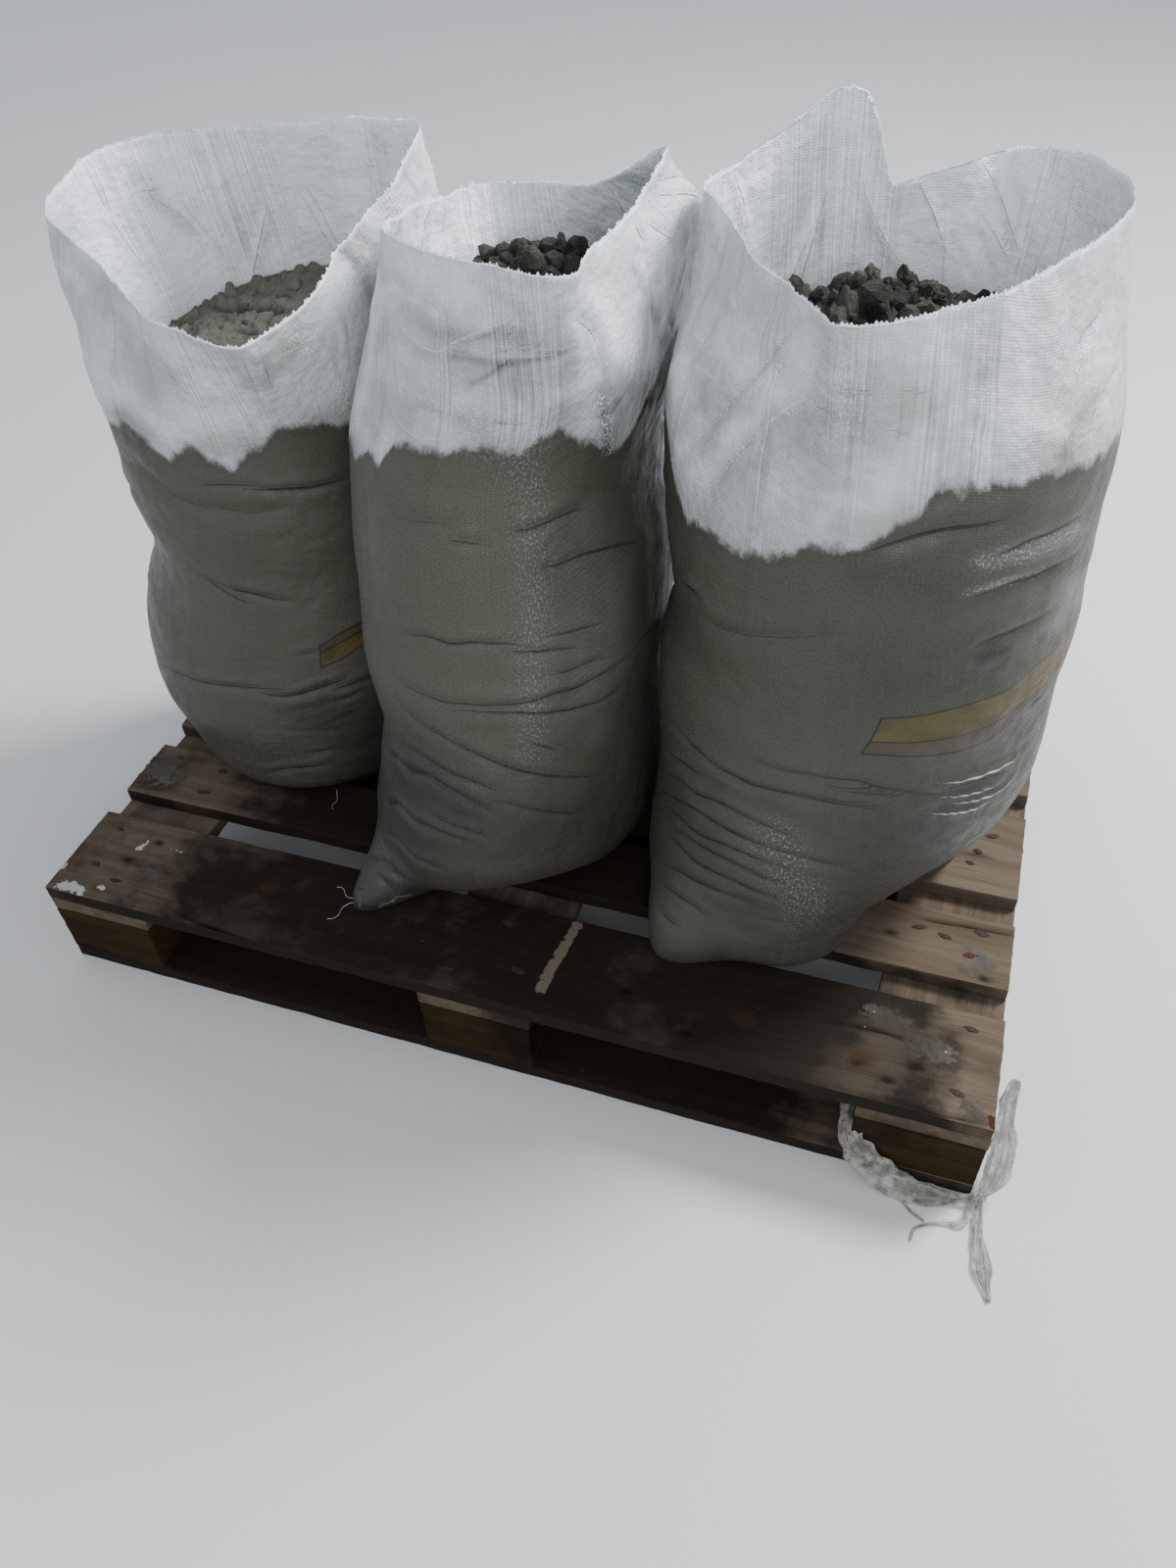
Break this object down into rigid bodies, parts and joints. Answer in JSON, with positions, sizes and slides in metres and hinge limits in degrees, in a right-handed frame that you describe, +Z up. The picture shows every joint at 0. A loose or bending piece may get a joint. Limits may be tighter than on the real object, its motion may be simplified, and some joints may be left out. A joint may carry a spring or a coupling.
{
  "type": "pallet of open sacks of sand",
  "caption": "Tall open-topped woven plastic sacks, filled with damp sand to below their upright loose tops, standing in a row on a wooden block pallet.",
  "frame": {"origin": "on the floor, at the middle of the underside of the centre bottom board", "axes": "+X along the 1200 mm side, from the viewer's left to the right, +Y away from the viewer, +Z up"},
  "size_m": [1.2566, 0.92, 0.9529],
  "materials": {
    "woven_fabric": "woven white polypropylene tape, slightly glossy",
    "damp_sand": "damp clumped sand",
    "deck_wood": "weathered damp sawn softwood",
    "block_wood": "rough pressed or sawn block",
    "torn_film": "gathered translucent stretch film, dirty"
  },
  "bodies": {
    "root": {"top_board_1": "deck_wood", "top_board_2": "deck_wood", "top_board_3": "deck_wood", "top_board_4": "deck_wood", "top_board_5": "deck_wood", "stringer_board_1": "deck_wood", "stringer_board_2": "deck_wood", "stringer_board_3": "deck_wood", "block_1": "block_wood", "block_2": "block_wood", "block_3": "block_wood", "block_4": "block_wood", "block_5": "block_wood", "block_6": "block_wood", "block_7": "block_wood", "block_8": "block_wood", "block_9": "block_wood", "bottom_board_1": "deck_wood", "bottom_board_2": "deck_wood", "bottom_board_3": "deck_wood", "sack_left": "woven_fabric", "sack_middle": "woven_fabric", "sack_right": "woven_fabric", "sand_left": "damp_sand", "sand_middle": "damp_sand", "sand_right": "damp_sand", "torn_film": "torn_film"}
  },
  "joints": []
}
